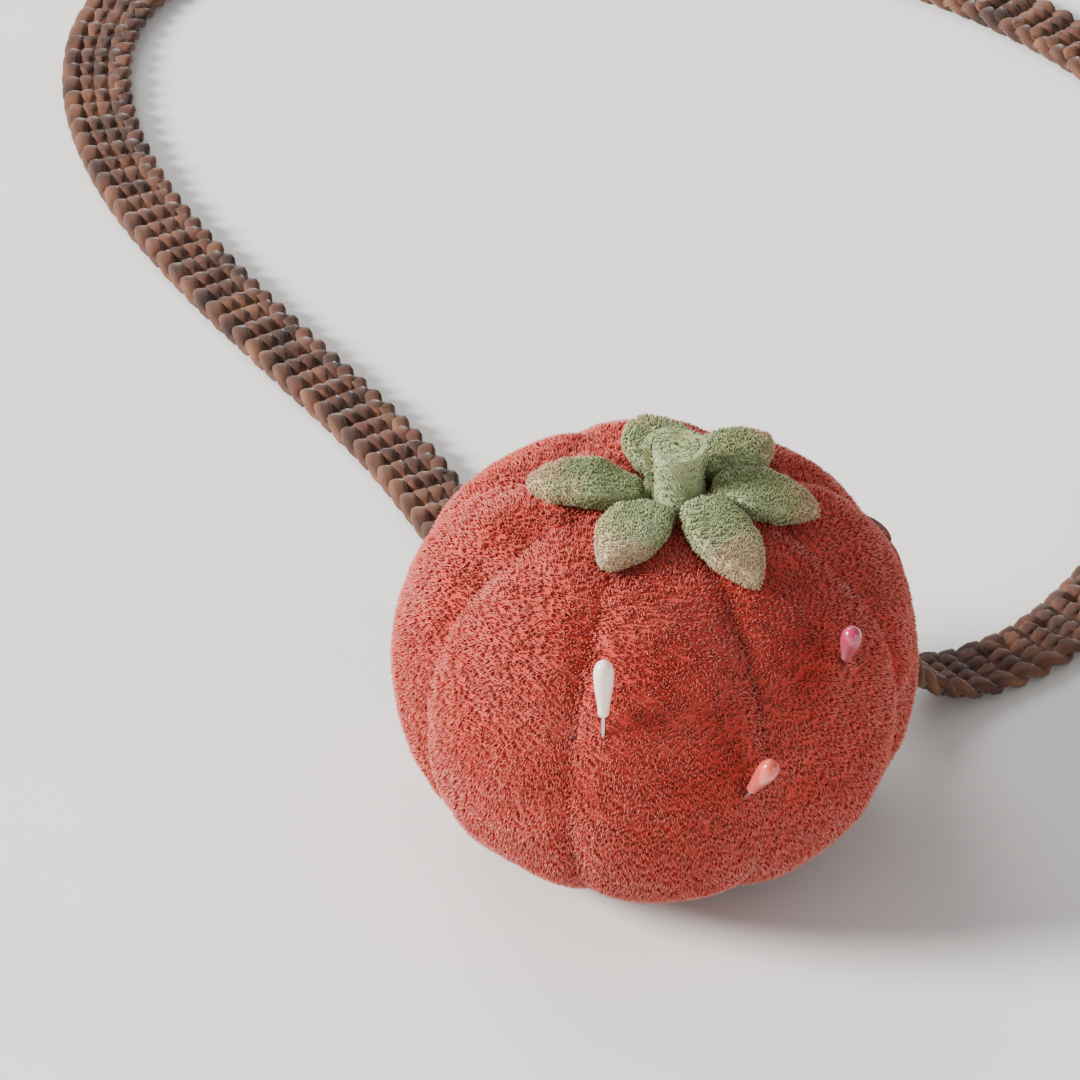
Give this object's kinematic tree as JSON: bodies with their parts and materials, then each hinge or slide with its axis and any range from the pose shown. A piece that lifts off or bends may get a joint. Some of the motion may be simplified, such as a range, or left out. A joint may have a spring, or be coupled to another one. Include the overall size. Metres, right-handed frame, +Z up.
{
  "type": "tomato pincushion",
  "caption": "Small stuffed tomato pincushion with a felt calyx, pull-out pins and a flat braided wearing strap.",
  "frame": {"origin": "middle of the felt base's underside, on the surface that the cushion stands on", "axes": "+Z up through the stem, -Y the front where the pins are, strap laid out behind towards +Y"},
  "size_m": [0.1706, 0.2615, 0.0562],
  "materials": {
    "red_plush": "short red plush",
    "stuffing": "packed wadding",
    "seam_thread": "dark red sewing thread",
    "base_felt": "red wool felt",
    "button": "flat backing button",
    "tuft_thread": "green upholstery thread",
    "green_felt": "brushed sage green felt",
    "anchor_felt": "red wool felt",
    "anchor_thread": "brown waxed thread",
    "strap_braid": "flat braided brown cord",
    "pin_steel": "nickel plated steel",
    "head_white": "pearl white drop",
    "head_magenta": "pearl magenta drop",
    "head_coral": "pearl coral drop"
  },
  "bodies": {
    "root": {"stuffing": "stuffing", "gore_1": "red_plush", "gore_2": "red_plush", "gore_3": "red_plush", "gore_4": "red_plush", "gore_5": "red_plush", "gore_6": "red_plush", "gore_7": "red_plush", "gore_8": "red_plush", "seam_threads": "seam_thread", "base_felt": "base_felt", "tuft_button": "button", "tuft_thread": "tuft_thread", "calyx_leaf_1": "green_felt", "calyx_leaf_2": "green_felt", "calyx_leaf_3": "green_felt", "calyx_leaf_4": "green_felt", "calyx_leaf_5": "green_felt", "calyx_leaf_6": "green_felt", "stem": "green_felt", "strap_anchor_left": "anchor_felt", "strap_anchor_right": "anchor_felt", "anchor_stitches": "anchor_thread", "strap": "strap_braid"},
    "pin_white": {"pin_shank_white": "pin_steel", "pin_head_white": "head_white"},
    "pin_magenta": {"pin_shank_magenta": "pin_steel", "pin_head_magenta": "head_magenta"},
    "pin_coral": {"pin_shank_coral": "pin_steel", "pin_head_coral": "head_coral"}
  },
  "joints": [
    {"name": "pin_white_pull", "type": "slide", "parent": "root", "child": "pin_white", "axis": [0, -0.1736, 0.9848], "range_m": [0, 0.032]},
    {"name": "pin_magenta_pull", "type": "slide", "parent": "root", "child": "pin_magenta", "axis": [0.05, -0.5714, 0.8192], "range_m": [0, 0.032]},
    {"name": "pin_coral_pull", "type": "slide", "parent": "root", "child": "pin_coral", "axis": [0.2543, -0.5454, 0.7986], "range_m": [0, 0.032]}
  ]
}
